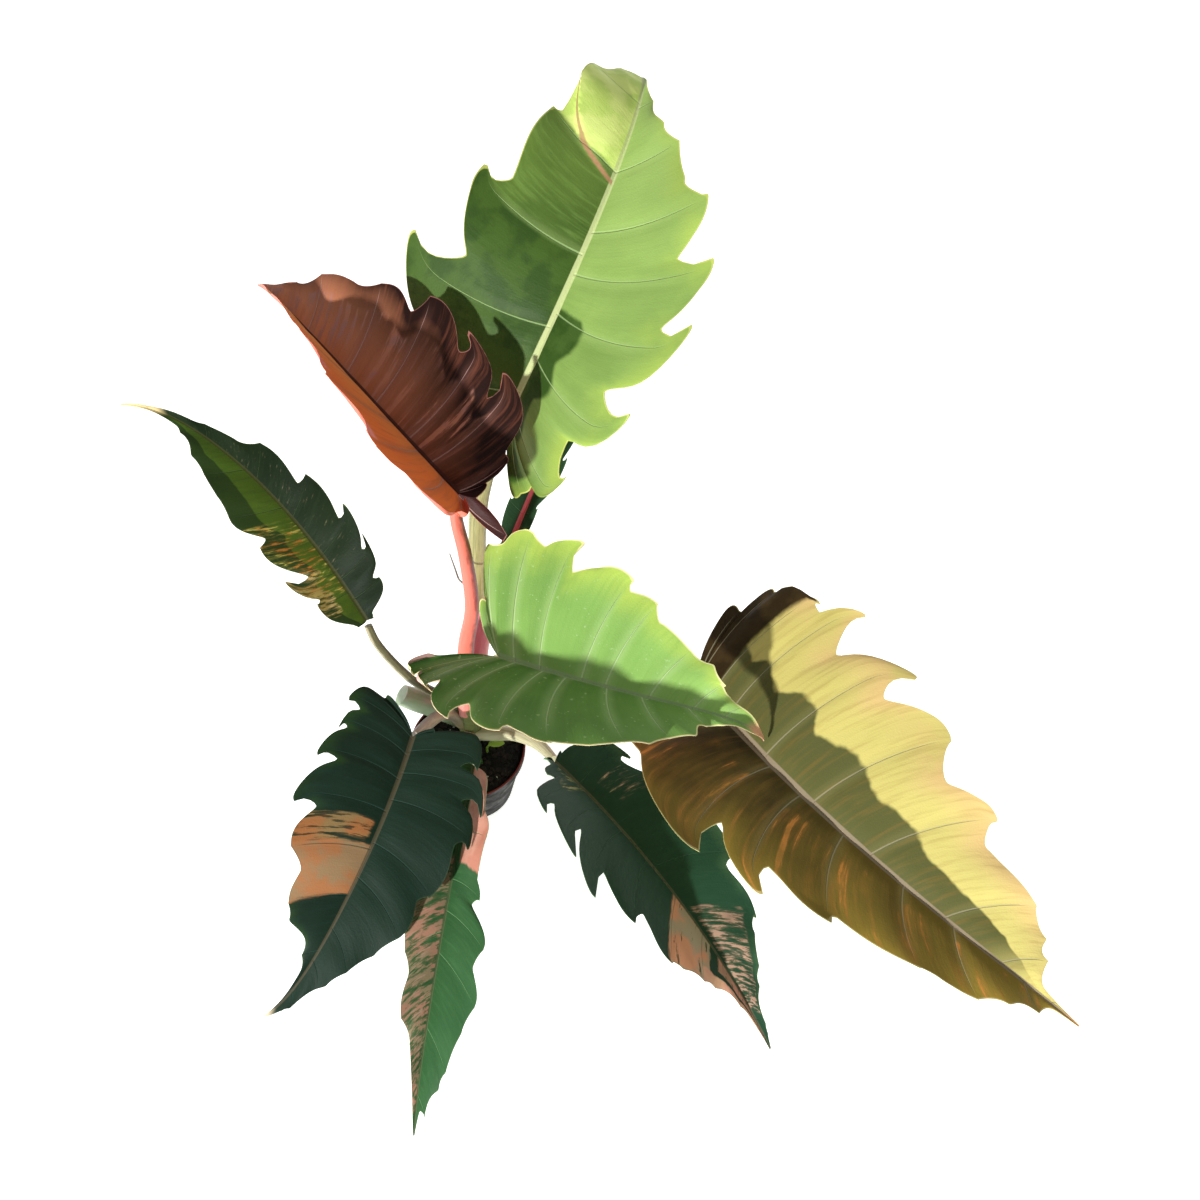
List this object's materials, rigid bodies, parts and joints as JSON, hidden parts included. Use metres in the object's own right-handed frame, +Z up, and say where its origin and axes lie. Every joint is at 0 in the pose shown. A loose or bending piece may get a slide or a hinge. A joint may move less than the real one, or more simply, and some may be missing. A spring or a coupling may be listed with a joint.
{
  "type": "potted caramel marble philodendron",
  "caption": "Climbing aroid house plant in a round tapered pot: toothed, marbled leaves in green, caramel, copper and peach spread on long stalks from one short stem.",
  "frame": {"origin": "centre of the pot's flat foot, on the surface that the pot stands on", "axes": "+Z up out of the pot, -Y towards the viewer of the picture, +X to the viewer's right"},
  "size_m": [0.8107, 0.8194, 0.5489],
  "materials": {
    "pot": "satin",
    "soil": "matte",
    "stem": "matte",
    "leaf_top_blade": "satin",
    "leaf_new_blade": "satin",
    "leaf_left_blade": "satin",
    "leaf_centre_blade": "satin",
    "leaf_right_blade": "satin",
    "leaf_lower_right_blade": "satin",
    "leaf_lower_left_blade": "satin",
    "leaf_bottom_blade": "satin",
    "leaf_back_blade": "satin",
    "leaf_top_stalk": "satin",
    "leaf_new_stalk": "satin",
    "leaf_left_stalk": "satin",
    "leaf_centre_stalk": "satin",
    "leaf_right_stalk": "satin",
    "leaf_lower_right_stalk": "satin",
    "leaf_lower_left_stalk": "satin",
    "leaf_bottom_stalk": "satin",
    "leaf_back_stalk": "satin",
    "short_sheath": "satin",
    "trimmed_stub": "satin",
    "aerial_root": "matte",
    "dried_strips": "matte",
    "light_sprout": "satin",
    "dark_sprout": "satin"
  },
  "bodies": {
    "root": {"pot": "pot", "soil": "soil", "stem": "stem", "leaf_top_blade": "leaf_top_blade", "leaf_new_blade": "leaf_new_blade", "leaf_left_blade": "leaf_left_blade", "leaf_centre_blade": "leaf_centre_blade", "leaf_right_blade": "leaf_right_blade", "leaf_lower_right_blade": "leaf_lower_right_blade", "leaf_lower_left_blade": "leaf_lower_left_blade", "leaf_bottom_blade": "leaf_bottom_blade", "leaf_back_blade": "leaf_back_blade", "leaf_top_stalk": "leaf_top_stalk", "leaf_new_stalk": "leaf_new_stalk", "leaf_left_stalk": "leaf_left_stalk", "leaf_centre_stalk": "leaf_centre_stalk", "leaf_right_stalk": "leaf_right_stalk", "leaf_lower_right_stalk": "leaf_lower_right_stalk", "leaf_lower_left_stalk": "leaf_lower_left_stalk", "leaf_bottom_stalk": "leaf_bottom_stalk", "leaf_back_stalk": "leaf_back_stalk", "short_sheath": "short_sheath", "trimmed_stub": "trimmed_stub", "aerial_root": "aerial_root", "dried_strips": "dried_strips", "light_sprout": "light_sprout", "dark_sprout": "dark_sprout"}
  },
  "joints": []
}
